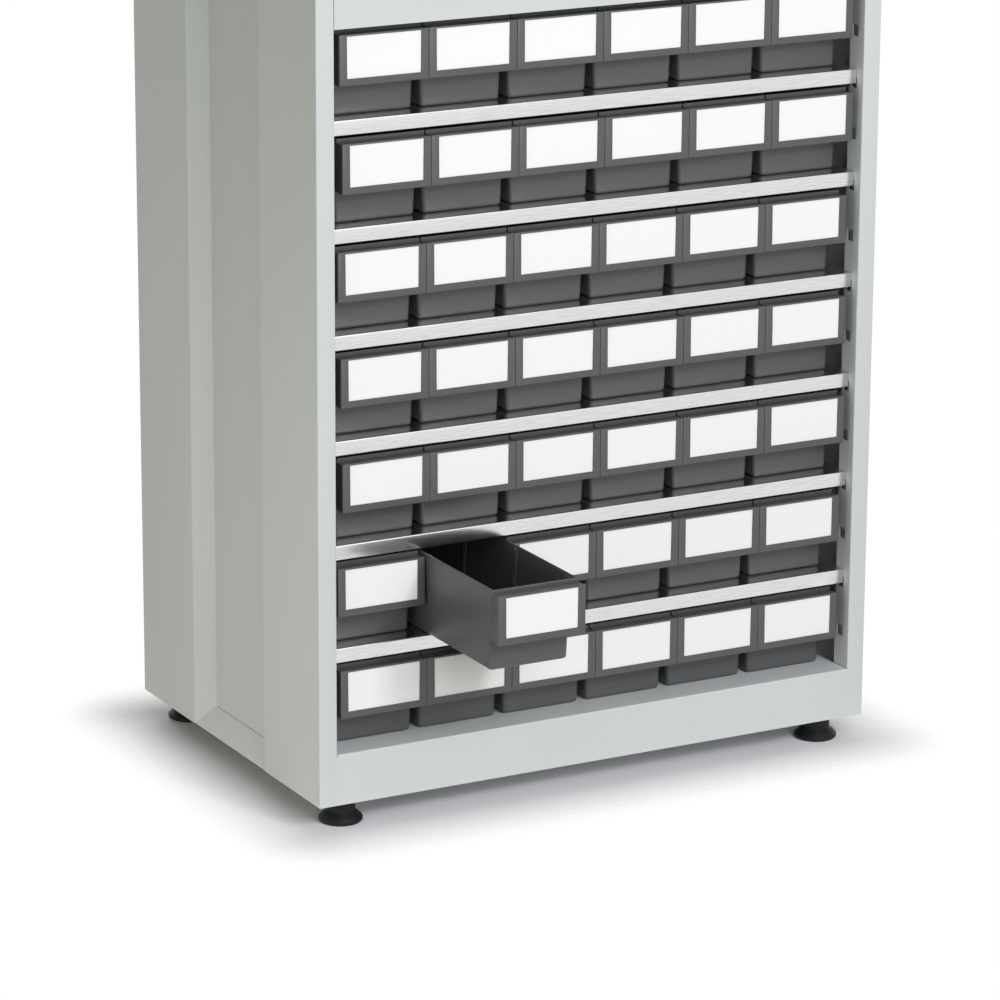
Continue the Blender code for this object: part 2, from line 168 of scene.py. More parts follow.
def add_edge(name, start, run):
    """Add a plane primitive and keep one edge of it, from start along run, open in edit mode."""
    deselect()
    start, run = Vector(start), Vector(run)
    turn = Vector((1.0, 0.0, 0.0)).rotation_difference(run)
    centre = start + run / 2 + turn @ Vector((0.0, run.length / 2, 0.0))
    bpy.ops.mesh.primitive_plane_add(size=run.length, location=centre, rotation=turn.to_euler())
    bpy.ops.object.transform_apply(location=True, rotation=True, scale=True)
    piece = bpy.context.object
    piece.name = name
    begin_edit(piece)
    kept = run.length / 4
    pick("VERT", lambda vert: min((vert.co - start).length, (vert.co - start - run).length) > kept)
    bpy.ops.mesh.delete(type="VERT")
    bpy.ops.mesh.select_all(action="SELECT")
    return piece


def draw_out(step):
    """Extrude what is selected by one step."""
    bpy.ops.mesh.extrude_region_move(TRANSFORM_OT_translate={"value": step})


def round_off(radius, steps):
    """Round the selected edges."""
    bpy.ops.mesh.bevel(offset=radius, segments=steps, profile=0.5, affect="EDGES")


def turn_outside(piece, outside):
    """Turn the open sheet over if its widest face looks away from the outside."""
    shape = bmesh.from_edit_mesh(piece.data)
    shape.normal_update()
    widest = max(shape.faces, key=lambda face: face.calc_area())
    if widest.normal.dot(Vector(outside)) < 0:
        bpy.ops.mesh.select_all(action="SELECT")
        bpy.ops.mesh.flip_normals()


def apply_modifier(piece, kind, **settings):
    """Add a modifier to a piece and apply it."""
    deselect()
    bpy.context.view_layer.objects.active = piece
    piece.select_set(True)
    modifier = piece.modifiers.new(kind.lower(), kind)
    for name, value in settings.items():
        setattr(modifier, name, value)
    bpy.ops.object.modifier_apply(modifier=modifier.name)


def thicken(piece, thickness):
    """Give an open sheet its thickness on its inner side."""
    apply_modifier(piece, "SOLIDIFY", thickness=thickness, offset=-1.0, use_even_offset=True)


def combine(piece, tool, operation):
    """Join a tool to a piece or cut it out, and remove the tool."""
    deselect()
    apply_modifier(piece, "BOOLEAN", object=tool, operation=operation, solver="EXACT")
    bpy.data.objects.remove(tool, do_unlink=True)


def fold_sheet(name, section, run, outside):
    """Draw a sheet from bend to bend, round its bends, face it outside and give it its thickness."""
    piece = add_edge(name, section[0], run)
    for here, there in zip(section, section[1:]):
        draw_out(Vector(there) - Vector(here))
    pick("EDGE", lambda edge: len(edge.link_faces) == 2)
    round_off(BEND_RADIUS, BEND_STEPS)
    turn_outside(piece, outside)
    thicken(piece, SHEET)
    return piece


def finish_piece(piece, material, body, slot, *nodes):
    """Smooth the round faces of a piece, give it its material and tie it to the empty of its body."""
    deselect()
    bpy.context.view_layer.objects.active = piece
    piece.select_set(True)
    bpy.ops.object.shade_smooth_by_angle(angle=SMOOTH_ANGLE)
    piece.data.name = piece.name
    piece.data.materials.clear()
    piece.data.materials.append(material)
    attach(piece, body)
    if nodes:
        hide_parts(*nodes)


# Powder coat: an even light grey with a satin sheen, broken up by a faint orange peel and by slow clouding of
# the tone across a panel.
powder_coat = bpy.data.materials.new("light_grey_powder_coat")
powder_coat.use_nodes = True
coat_place = add_node(powder_coat, "ShaderNodeTexCoord").outputs["Object"]
coat_peel = add_node(
    powder_coat,
    "ShaderNodeTexNoise",
    {"Vector": coat_place, "Scale": 1 / COAT_PEEL, "Detail": 2.0},
)
coat_cloud = add_node(
    powder_coat,
    "ShaderNodeTexNoise",
    {"Vector": coat_place, "Scale": 1 / COAT_CLOUD, "Detail": 2.0},
)
coat_tone = add_node(
    powder_coat,
    "ShaderNodeMix",
    {0: coat_cloud.outputs["Fac"], 6: linear(COAT_DARK), 7: linear(COAT_LIGHT)},
    data_type="RGBA",
)
coat_gloss = add_node(
    powder_coat,
    "ShaderNodeMapRange",
    {
        "Value": coat_peel.outputs["Fac"],
        "From Min": NOISE_LOW,
        "From Max": NOISE_HIGH,
        "To Min": COAT_SMOOTHEST,
        "To Max": COAT_ROUGHEST,
    },
)
coat_bump = add_node(
    powder_coat,
    "ShaderNodeBump",
    {"Height": coat_peel.outputs["Fac"], "Strength": 0.15, "Distance": COAT_PEEL_DEPTH},
)
coat_shader = powder_coat.node_tree.nodes["Principled BSDF"]
coat_shader.inputs["IOR"].default_value = COAT_IOR
powder_coat.node_tree.links.new(coat_tone.outputs[2], coat_shader.inputs["Base Color"])
powder_coat.node_tree.links.new(coat_gloss.outputs["Result"], coat_shader.inputs["Roughness"])
powder_coat.node_tree.links.new(coat_bump.outputs["Normal"], coat_shader.inputs["Normal"])

side_section = [
    (STILE_WIDTH, STILE_FLANGE),
    (STILE_WIDTH, 0.0),
    (0.0, 0.0),
    (0.0, RECESS_FRONT),
    (RECESS_DEPTH, RECESS_FRONT + RECESS_DEPTH),
    (RECESS_DEPTH, RECESS_REAR - RECESS_DEPTH),
    (0.0, RECESS_REAR),
    (0.0, cabinet_depth),
    (STILE_WIDTH, cabinet_depth),
    (STILE_WIDTH, cabinet_depth - STILE_FLANGE),
]


def on_side(side, inward, back, height=foot_top):
    """Place on one side's section, measured in from its outer face and back from its front."""
    return Vector((side * (half_width - inward), front_y + back, height))


for side, hand in ((-1, "left"), (1, "right")):
    outline = [on_side(side, inward, back) for inward, back in side_section]
    rise = (0.0, 0.0, side_high.z - foot_top)
    panel = fold_sheet("folded_side_" + hand, outline, rise, (side, 0.0, 0.0))

    slot_step = row_pitch / SLOTS_PER_ROW
    slot_boxes = []
    for index in range(row_count * SLOTS_PER_ROW - 1):
        level = base_top + slot_step - SLOT_DROP + index * slot_step
        for back in (SLOT_SETBACK, cabinet_depth - SLOT_SETBACK - SLOT_WIDTH):
            low = (side * opening_half - 2 * SHEET, front_y + back, level - SLOT_HEIGHT / 2)
            high = (side * opening_half + 2 * SHEET, front_y + back + SLOT_WIDTH, level + SLOT_HEIGHT / 2)
            slot_boxes.append((low, high))
    slots = add_cube("slots", *slot_boxes[0])
    for low, high in slot_boxes[1:]:
        add_more_cube(low, high)
    combine(panel, slots, "DIFFERENCE")

    flap_lean = RECESS_DEPTH - 2 * FLAP_GAP
    flap_start = RECESS_FRONT + FLAP_GAP - SHEET / 2
    flap_run = RECESS_REAR - RECESS_FRONT - 4 * FLAP_GAP + SHEET / 2
    flap = add_edge("flap", on_side(side, FLAP_GAP, flap_start), (0.0, flap_run, 0.0))
    draw_out((-side * flap_lean, 0.0, FLAP_RISE))
    flap_middle = on_side(side, RECESS_DEPTH - FLAP_GAP, flap_start + flap_run / 2, foot_top + FLAP_RISE)
    flap_taper = (flap_run - 2 * flap_lean) / flap_run
    bpy.ops.transform.resize(value=(1.0, flap_taper, 1.0), center_override=flap_middle)
    turn_outside(flap, (side, 0.0, 0.0))
    thicken(flap, SHEET)
    combine(panel, flap, "UNION")
    finish_piece(panel, powder_coat, "cabinet", "paint", "side_panel_" + hand)


# Base
# The base is a folded pan, open below, between the two sides. Its front is the plinth and its top carries
# the lowest row of drawers. A plate welded into each corner takes the stem of a levelling foot. The ends of
# the plinth are welded to the stiles and ground flush under the paint, so that no seam shows beside it.
FOOT_INSET_X = 36.0 * MM
FOOT_INSET_Y = 29.0 * MM
FOOT_PLATE = 3.0 * MM
FOOT_PLATE_REACH = 24.0 * MM
STEM_RADIUS = 5.0 * MM
STEM_SIDES = 32
FIT = 0.3 * MM
WELD_DEPTH = 0.5 * MM
WELD_SET_BACK = 0.02 * MM

base_low, base_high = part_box("base")
base = add_cube("plinth_base", base_low, base_high)
pick("FACE", lambda face: face.normal.z < -FACING)
bpy.ops.mesh.delete(type="ONLY_FACE")


def plinth_fold(edge):
    """Whether an edge is folded, at the top or upright at the rear. Welded front uprights stay sharp."""
    place = middle(edge)
    welded = place.y < base_low.y + FIT and abs(place.x) > base_high.x - FIT
    return place.z > base_low.z + BEND_RADIUS and not welded


pick("EDGE", plinth_fold)
round_off(BEND_RADIUS, BEND_STEPS)
thicken(base, SHEET)
for side in (-1, 1):
    weld_xs = sorted((side * (base_high.x - SHEET / 2), side * (base_high.x + FIT + BEND_RADIUS)))
    low = (weld_xs[0], base_low.y + WELD_SET_BACK, base_low.z + FIT)
    high = (weld_xs[1], base_low.y + WELD_DEPTH, base_high.z - BEND_RADIUS)
    combine(base, add_cube("plinth_weld", low, high), "UNION")

foot_places = {}
for end, depth_name in ((-1, "front"), (1, "rear")):
    for side, hand in ((-1, "left"), (1, "right")):
        place = Vector((side * (half_width - FOOT_INSET_X), 0.0, 0.0))
        place.y = front_y + FOOT_INSET_Y if end < 0 else back_y - FOOT_INSET_Y
        foot_places[f"foot_{depth_name}_{hand}"] = place
        wall = (base_high.x - SHEET / 2, base_low.y + SHEET / 2 if end < 0 else base_high.y - SHEET / 2)
        xs = sorted((side * wall[0], place.x - side * FOOT_PLATE_REACH))
        ys = sorted((wall[1], place.y - end * FOOT_PLATE_REACH))
        low = (xs[0], ys[0], base_low.z + FIT)
        high = (xs[1], ys[1], base_low.z + FIT + FOOT_PLATE)
        combine(base, add_cube("foot_plate", low, high), "UNION")
        deselect()
        bpy.ops.mesh.primitive_cylinder_add(
            vertices=STEM_SIDES,
            radius=STEM_RADIUS + FIT,
            depth=4 * FOOT_PLATE,
            location=(place.x, place.y, base_low.z),
        )
        combine(base, bpy.context.object, "DIFFERENCE")
finish_piece(base, powder_coat, "cabinet", "paint", "base")


# Levelling feet
# Each foot is turned by hand to level the cabinet: a moulded black pad with a dished top, a neck that meets
# the base and a steel stem cast in. The thread is drawn as rings, because its slope is too small to see.
PAD_RADIUS = 21.0 * MM
PAD_EDGE = 4.0 * MM
PAD_SHOULDER = 6.0 * MM
PAD_HEIGHT = 8.0 * MM
PAD_ROUNDING = 1.6 * MM
NECK_RADIUS = 14.0 * MM
NECK_FILLET = 3.0 * MM
STEM_LENGTH = 24.0 * MM
THREAD_PITCH = 1.5 * MM
THREAD_DEPTH = 0.8 * MM
SPIN_STEPS = 48
MERGE_GAP = 0.01 * MM
FOOT_BLACK = "0C1112"
FOOT_GRAIN = 0.8 * MM
FOOT_GRAIN_DEPTH = 0.05 * MM
FOOT_SMOOTHEST = 0.42
FOOT_ROUGHEST = 0.62
FOOT_IOR = 1.53
FOOT_SHINE = 0.25

outline = [(0.0, 0.0), (PAD_RADIUS - PAD_ROUNDING, 0.0), (PAD_RADIUS, PAD_ROUNDING)]
outline += [(PAD_RADIUS, PAD_EDGE), (PAD_RADIUS - PAD_ROUNDING, PAD_SHOULDER)]
outline += [(NECK_RADIUS + NECK_FILLET, PAD_HEIGHT), (NECK_RADIUS, PAD_HEIGHT + NECK_FILLET)]
outline += [(NECK_RADIUS, foot_top - PAD_ROUNDING / 2), (NECK_RADIUS - PAD_ROUNDING / 2, foot_top)]
outline += [(STEM_RADIUS, foot_top)]
height = foot_top + THREAD_PITCH
while height < foot_top + STEM_LENGTH - THREAD_PITCH:
    outline += [(STEM_RADIUS - THREAD_DEPTH, height), (STEM_RADIUS, height + THREAD_PITCH / 2)]
    height += THREAD_PITCH
outline += [(STEM_RADIUS - THREAD_DEPTH, foot_top + STEM_LENGTH), (0.0, foot_top + STEM_LENGTH)]

profile = [Vector((radius, 0.0, height)) for radius, height in outline]
foot = add_edge("foot", profile[0], profile[1] - profile[0])
pick("VERT", lambda vert: vert.co.x > PAD_RADIUS / 2)
for here, there in zip(profile[1:], profile[2:]):
    draw_out(there - here)
bpy.ops.mesh.select_all(action="SELECT")
bpy.ops.mesh.spin(steps=SPIN_STEPS, angle=math.tau, center=(0.0, 0.0, 0.0), axis=(0.0, 0.0, 1.0))
bpy.ops.mesh.select_all(action="SELECT")
bpy.ops.mesh.remove_doubles(threshold=MERGE_GAP)
bpy.ops.mesh.normals_make_consistent(inside=False)

# Black nylon: near black with a faint blue-green cast and a dull shine. Its moulded grain is finer than this
# and is drawn coarse enough to show.
foot_plastic = bpy.data.materials.new("black_moulded_nylon")
foot_plastic.use_nodes = True
foot_place = add_node(foot_plastic, "ShaderNodeTexCoord").outputs["Object"]
foot_grain = add_node(foot_plastic, "ShaderNodeTexNoise", {"Vector": foot_place, "Scale": 1 / FOOT_GRAIN})
foot_bump = add_node(
    foot_plastic,
    "ShaderNodeBump",
    {"Height": foot_grain.outputs["Fac"], "Strength": 0.3, "Distance": FOOT_GRAIN_DEPTH},
)
foot_gloss = add_node(
    foot_plastic,
    "ShaderNodeMapRange",
    {"Value": foot_grain.outputs["Fac"], "To Min": FOOT_SMOOTHEST, "To Max": FOOT_ROUGHEST},
)
foot_shader = foot_plastic.node_tree.nodes["Principled BSDF"]
foot_shader.inputs["Base Color"].default_value = linear(FOOT_BLACK)
foot_shader.inputs["IOR"].default_value = FOOT_IOR
foot_shader.inputs["Specular IOR Level"].default_value = FOOT_SHINE
foot_plastic.node_tree.links.new(foot_gloss.outputs["Result"], foot_shader.inputs["Roughness"])
foot_plastic.node_tree.links.new(foot_bump.outputs["Normal"], foot_shader.inputs["Normal"])


def stand_copy(name, master, place):
    """Copy a finished shape with its own mesh and put its place in the mesh."""
    mesh = master.data.copy()
    mesh.transform(Matrix.Translation(place))
    copy = bpy.data.objects.new(name, mesh)
    bpy.context.scene.collection.objects.link(copy)
    return copy


deselect()
for node, place in foot_places.items():
    finish_piece(stand_copy("levelling_" + node, foot, place), foot_plastic, node, "foot_plastic", node)
bpy.data.objects.remove(foot, do_unlink=True)


# Back panel
# The back is a flat sheet between the rear stiles, with its two long edges folded forward. Its paint is the
# same light grey as the sides.
back_low, back_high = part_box("back_panel")
outline = [
    (back_low.x, back_low.y, back_low.z),
    (back_low.x, back_high.y, back_low.z),
    (back_high.x, back_high.y, back_low.z),
    (back_high.x, back_low.y, back_low.z),
]
rise = (0.0, 0.0, back_high.z - back_low.z)
back_sheet = fold_sheet("back_sheet", outline, rise, (0.0, 1.0, 0.0))
finish_piece(back_sheet, powder_coat, "cabinet", "paint", "back_panel")


# Top panel
# The top is a cover sheet over the whole cabinet, with a ring of rails welded under it between the sides.
# The front rail closes the opening above the highest row.
RAIL_INSET = 0.3 * MM
COVER_ROUNDING = 0.4 * MM
EDGE_STEPS = 2

top_low, top_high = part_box("top_panel")
cover = add_cube("top_cover", (top_low.x, top_low.y, top_high.z - SHEET), top_high)
pick("EDGE", lambda edge: middle(edge).z > top_high.z - SHEET / 4)
round_off(COVER_ROUNDING, EDGE_STEPS)
rails_low = (base_low.x, top_low.y + RAIL_INSET, top_low.z)
rails_high = (base_high.x, base_high.y, top_high.z - SHEET / 2)
rails = add_cube("rails", rails_low, rails_high)
pick("FACE", lambda face: abs(face.normal.z) > FACING)
bpy.ops.mesh.delete(type="ONLY_FACE")
thicken(rails, SHEET)
combine(cover, rails, "UNION")
finish_piece(cover, powder_coat, "cabinet", "paint", "top_panel")


# Shelves
# Each shelf is a zinc-coated sheet with a lip folded down front and rear. Hooks at the ends of the lips drop
# into slots of the side panels. Rolling leaves a fine grain along the sheet and a soft metal shine.
LIP_HEIGHT = 14.5 * MM
LIP_RETURN = 8.0 * MM
HOOK_WIDTH = 2.0 * MM
HOOK_DROP = 5.0 * MM
HOOK_HEADROOM = 1.0 * MM
HOOK_SIDE_GAP = 0.1 * MM
ZINC_LIGHT = "E6E6E4"
ZINC_DARK = "CDCECE"
ZINC_SMOOTHEST = 0.17
ZINC_ROUGHEST = 0.26
GRAIN_LENGTH = 22.0 * MM
GRAIN_WIDTH = 0.7 * MM
GRAIN_DEPTH = 0.03 * MM

first_low, first_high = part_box("shelf_under_row_1")
shelf_half = base_high.x
outline = [
    (-shelf_half, first_low.y + LIP_RETURN, -LIP_HEIGHT),
    (-shelf_half, first_low.y, -LIP_HEIGHT),
    (-shelf_half, first_low.y, 0.0),
    (-shelf_half, first_high.y, 0.0),
    (-shelf_half, first_high.y, -LIP_HEIGHT),
]
shelf = fold_sheet("shelf", outline, (2 * shelf_half, 0.0, 0.0), (0.0, 0.0, 1.0))
slot_bottom = -SLOT_DROP - SLOT_HEIGHT / 2
hook_top = slot_bottom + SLOT_HEIGHT - HOOK_HEADROOM
catch = opening_half + SHEET + FIT
for side in (-1, 1):
    for lip in (first_low.y, first_high.y - SHEET):
        xs = sorted((side * (shelf_half - FIT), side * (catch + HOOK_WIDTH)))
        low = (xs[0], lip + HOOK_SIDE_GAP, slot_bottom + FIT)
        high = (xs[1], lip + SHEET - HOOK_SIDE_GAP, hook_top)
        hook = add_cube("hook", low, high)
        bpy.ops.mesh.select_all(action="SELECT")
        bpy.ops.mesh.bisect(plane_co=(side * catch, 0.0, 0.0), plane_no=(1.0, 0.0, 0.0))
        pick("FACE", lambda face: face.normal.z < -FACING and side * face.calc_center_median().x > catch)
        draw_out((0.0, 0.0, -HOOK_DROP - FIT))
        combine(shelf, hook, "UNION")

# Zinc: a pale metal that mirrors the drawers softly, with short streaks along the sheet. The rolled grain is
# finer than this and is drawn coarse enough to show.
zinc = bpy.data.materials.new("zinc_coated_steel")
zinc.use_nodes = True
zinc_place = add_node(zinc, "ShaderNodeTexCoord").outputs["Object"]
zinc_along = add_node(
    zinc,
    "ShaderNodeMapping",
    {"Vector": zinc_place, "Scale": (1 / GRAIN_LENGTH, 1 / GRAIN_WIDTH, 1 / GRAIN_WIDTH)},
)
zinc_grain = add_node(
    zinc,
    "ShaderNodeTexNoise",
    {"Vector": zinc_along.outputs["Vector"], "Scale": 1.0, "Detail": 3.0},
)
zinc_level = add_node(
    zinc,
    "ShaderNodeMapRange",
    {"Value": zinc_grain.outputs["Fac"], "From Min": NOISE_LOW, "From Max": NOISE_HIGH},
)
zinc_tone = add_node(
    zinc,
    "ShaderNodeMix",
    {0: zinc_level.outputs["Result"], 6: linear(ZINC_DARK), 7: linear(ZINC_LIGHT)},
    data_type="RGBA",
)
zinc_gloss = add_node(
    zinc,
    "ShaderNodeMapRange",
    {"Value": zinc_level.outputs["Result"], "To Min": ZINC_ROUGHEST, "To Max": ZINC_SMOOTHEST},
)
zinc_bump = add_node(
    zinc,
    "ShaderNodeBump",
    {"Height": zinc_grain.outputs["Fac"], "Strength": 0.2, "Distance": GRAIN_DEPTH},
)
zinc_shader = zinc.node_tree.nodes["Principled BSDF"]
zinc_shader.inputs["Metallic"].default_value = 1.0
zinc.node_tree.links.new(zinc_tone.outputs[2], zinc_shader.inputs["Base Color"])
zinc.node_tree.links.new(zinc_gloss.outputs["Result"], zinc_shader.inputs["Roughness"])
zinc.node_tree.links.new(zinc_bump.outputs["Normal"], zinc_shader.inputs["Normal"])

deselect()
for row in range(1, row_count):
    node = f"shelf_under_row_{row}"
    piece = stand_copy(f"zinc_shelf_{row}", shelf, (0.0, 0.0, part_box(node)[1].z))
    finish_piece(piece, zinc, "cabinet", "zinc", node)
bpy.data.objects.remove(shelf, do_unlink=True)


# Drawers
# Each drawer is one moulding of dark grey polypropylene: a drafted tub, a label panel that overhangs its
# front as a finger grip, a slot for the card behind the panel's window, and a stop lug at the back.
# Moulding leaves it satin, with soft edges and a fine even grain.
RIM_HEIGHT = 81.0 * MM
WALL = 1.8 * MM
RIM_WIDTH = 89.7 * MM
FLOOR_WIDTH = 81.3 * MM
GRIP_AT_RIM = 13.0 * MM
GRIP_DEPTH = 25.0 * MM
REAR_DRAFT = 6.0 * MM
FLOOR_RADIUS = 4.0 * MM
FLOOR_STEPS = 5
EDGE_RADIUS = 0.45 * MM
LEDGE_DROP = 3.5 * MM
PANEL_TOP = 78.25 * MM
PANEL_BOTTOM = 31.25 * MM
PANEL_SPREAD = 0.1 * MM
PANEL_CORNER = 1.1 * MM
CORNER_STEPS = 4
PANEL_ROUNDING = 0.9 * MM
PANEL_TOP_ROUNDING = 0.3 * MM
PANEL_FRONT = 0.9 * MM
CARD_SLOT = 0.8 * MM
PANEL_BACK = 1.2 * MM
LABEL_WIDTH = 75.6 * MM
LABEL_TAPER = 0.6 * MM
LABEL_TOP = 76.75 * MM
LABEL_BOTTOM = 38.05 * MM
CARD_MARGIN = 1.1 * MM
LUG_WIDTH = 30.0 * MM
LUG_ROOT = 6.0 * MM
LUG_CORNER = 6.0 * MM
RIB_STATIONS = [station * MM for station in (30.0, 130.0, 230.0, 330.0)]
RIB_GAP = 2.6 * MM
RIB_THICKNESS = 1.2 * MM
RIB_REACH = 1.3 * MM
RIB_BELOW_RIM = 2.5 * MM
RIB_ROUNDING = 1.04 * MM
RIB_STEPS = 3
PLASTIC_LIGHT = "565656"
PLASTIC_DARK = "505050"
PLASTIC_GRAIN = 0.5 * MM
PLASTIC_GRAIN_DEPTH = 0.03 * MM
PLASTIC_CLOUD = 60.0 * MM
PLASTIC_SMOOTHEST = 0.36
PLASTIC_ROUGHEST = 0.50
PLASTIC_IOR = 1.49

drawer_low, drawer_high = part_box("drawer_r1_c1")
drawer_width = drawer_high.x - drawer_low.x
drawer_length = drawer_high.y - drawer_low.y
lug_top = drawer_high.z - drawer_low.z


def wall_half(height):
    """Half width of the tub at a height above its floor."""
    return (FLOOR_WIDTH + (RIM_WIDTH - FLOOR_WIDTH) * height / RIM_HEIGHT) / 2


def wall_setback(height):
    """How far the tub's front wall lies behind the label panel at a height above its floor."""
    lean = max(0.0, height - PANEL_BOTTOM) / (RIM_HEIGHT - PANEL_BOTTOM)
    return GRIP_DEPTH + (GRIP_AT_RIM - GRIP_DEPTH) * lean


def widen(share, height):
    """Scale what is selected across the drawer, about its middle plane."""
    bpy.ops.transform.resize(value=(share, 1.0, 1.0), center_override=(0.0, 0.0, height))


def pick_crosswise(y_range, z_range):
    """Select the edges that run across the drawer within these depths and heights."""

    def crosswise(edge):
        place = middle(edge)
        inside = y_range[0] < place.y < y_range[1] and z_range[0] < place.z < z_range[1]
        return along(edge, 0) and inside

    pick("EDGE", crosswise)


tub_low = (-RIM_WIDTH / 2, GRIP_DEPTH, 0.0)
tub_high = (RIM_WIDTH / 2, drawer_length, RIM_HEIGHT)
front_half = (-WALL, drawer_length / 2)
rear_half = (drawer_length / 2, drawer_length + WALL)
drawer = add_cube("drawer", tub_low, tub_high)
pick("FACE", lambda face: face.normal.z < -FACING)
widen(FLOOR_WIDTH / RIM_WIDTH, 0.0)
pick_crosswise(rear_half, (-WALL, WALL))
bpy.ops.transform.translate(value=(0.0, -REAR_DRAFT, 0.0))
bpy.ops.mesh.select_all(action="SELECT")
bpy.ops.mesh.bisect(plane_co=(0.0, 0.0, PANEL_BOTTOM), plane_no=(0.0, 0.0, 1.0))
pick_crosswise(front_half, (RIM_HEIGHT - WALL, RIM_HEIGHT + WALL))
bpy.ops.transform.translate(value=(0.0, GRIP_AT_RIM - GRIP_DEPTH, 0.0))


def tub_rounding(edge):
    """Whether an edge is at the floor, an upright at the rear or one below the label panel."""
    place = middle(edge)
    return place.z < WALL or along(edge, 2) and (place.y > drawer_length / 2 or place.z < PANEL_BOTTOM)


pick("EDGE", tub_rounding)
round_off(FLOOR_RADIUS, FLOOR_STEPS)
pick("FACE", lambda face: face.normal.z > FACING)
bpy.ops.mesh.delete(type="ONLY_FACE")
thicken(drawer, WALL)
begin_edit(drawer)


def rim_edge(edge):
    """Whether an edge bounds the flat top of the tub's wall."""
    level = RIM_HEIGHT - WALL
    ups = [face.normal.z > FACING and face.calc_center_median().z > level for face in edge.link_faces]
    return len(ups) == 2 and ups[0] != ups[1]


pick("EDGE", rim_edge)
round_off(EDGE_RADIUS, EDGE_STEPS)

hood_low, hood_high = PANEL_BOTTOM + FIT, RIM_HEIGHT - LEDGE_DROP
hood_front = PANEL_FRONT + CARD_SLOT + PANEL_BACK / 2
hood_half = drawer_width / 2 - FIT
hood_back = wall_setback(hood_high) + WALL / 2
hood = add_cube("hood", (-hood_half, hood_front, hood_low), (hood_half, hood_back, hood_high))
behind = (hood_back - WALL, drawer_length)
pick_crosswise(behind, (hood_high - WALL, RIM_HEIGHT))
widen((wall_half(hood_high) - FIT) / hood_half, hood_high)
pick_crosswise(behind, (0.0, hood_high - WALL))
widen((wall_half(hood_low) - FIT) / hood_half, hood_low)
bpy.ops.transform.translate(value=(0.0, wall_setback(hood_low) - wall_setback(hood_high), 0.0))
pick("FACE", lambda face: abs(face.normal.x) < FACING and face.normal.z < FACING)
bpy.ops.mesh.delete(type="ONLY_FACE")
thicken(hood, WALL)
combine(drawer, hood, "UNION")

panel_half = drawer_width / 2 + PANEL_SPREAD
panel_back = PANEL_FRONT + CARD_SLOT + PANEL_BACK
panel = add_cube("panel", (-panel_half, 0.0, PANEL_BOTTOM), (panel_half, panel_back, PANEL_TOP))
pick("EDGE", lambda edge: along(edge, 1) and middle(edge).z < LABEL_BOTTOM)
round_off(PANEL_CORNER, CORNER_STEPS)
pick("EDGE", lambda edge: middle(edge).y < EDGE_RADIUS and middle(edge).z < LABEL_TOP)
round_off(PANEL_ROUNDING, CORNER_STEPS)
pick_crosswise((-EDGE_RADIUS, EDGE_RADIUS), (LABEL_TOP, RIM_HEIGHT))
round_off(PANEL_TOP_ROUNDING, EDGE_STEPS)
combine(drawer, panel, "UNION")

lug_middle = drawer_length - WALL / 2
lug_low = (-LUG_WIDTH / 2, lug_middle - WALL / 2 + FIT, RIM_HEIGHT - LUG_ROOT)
lug_high = (LUG_WIDTH / 2, lug_middle + WALL / 2 - FIT, lug_top)
lug = add_cube("lug", lug_low, lug_high)
pick("EDGE", lambda edge: along(edge, 1) and middle(edge).z > RIM_HEIGHT)
round_off(LUG_CORNER, FLOOR_STEPS)
combine(drawer, lug, "UNION")

rib_top = RIM_HEIGHT - RIB_BELOW_RIM
rib_root = wall_half(rib_top) - WALL / 2
rib_lean = wall_half(WALL / 2) - wall_half(rib_top)


def rib_corner(edge):
    """Whether an edge is the upper inner corner of a rib."""
    place = middle(edge)
    return along(edge, 1) and place.z > WALL and abs(place.x) < rib_root - WALL


for station in RIB_STATIONS:
    for offset in (-RIB_GAP / 2 - RIB_THICKNESS, RIB_GAP / 2):
        for side in (-1, 1):
            xs = sorted((side * rib_root, side * (rib_root - WALL / 2 - RIB_REACH)))
            rib_low = (xs[0], station + offset, WALL / 2)
            rib_high = (xs[1], station + offset + RIB_THICKNESS, rib_top)
            rib = add_cube("rib", rib_low, rib_high)
            pick("FACE", lambda face: face.normal.z < -FACING)
            bpy.ops.transform.translate(value=(side * rib_lean, 0.0, 0.0))
            pick("EDGE", rib_corner)
            round_off(RIB_ROUNDING, RIB_STEPS)
            combine(drawer, rib, "UNION")

card_half = LABEL_WIDTH / 2 + CARD_MARGIN
slot_low = (-card_half, PANEL_FRONT, LABEL_BOTTOM - CARD_MARGIN)
slot_high = (card_half, PANEL_FRONT + CARD_SLOT, PANEL_TOP + LEDGE_DROP)
combine(drawer, add_cube("card_slot", slot_low, slot_high), "DIFFERENCE")

window_low = (-LABEL_WIDTH / 2, -PANEL_FRONT, LABEL_BOTTOM)
window_high = (LABEL_WIDTH / 2, PANEL_FRONT + CARD_SLOT / 2, LABEL_TOP)
window = add_cube("window", window_low, window_high)
pick("FACE", lambda face: face.normal.z < -FACING)
widen((LABEL_WIDTH - LABEL_TAPER) / LABEL_WIDTH, LABEL_BOTTOM)
combine(drawer, window, "DIFFERENCE")

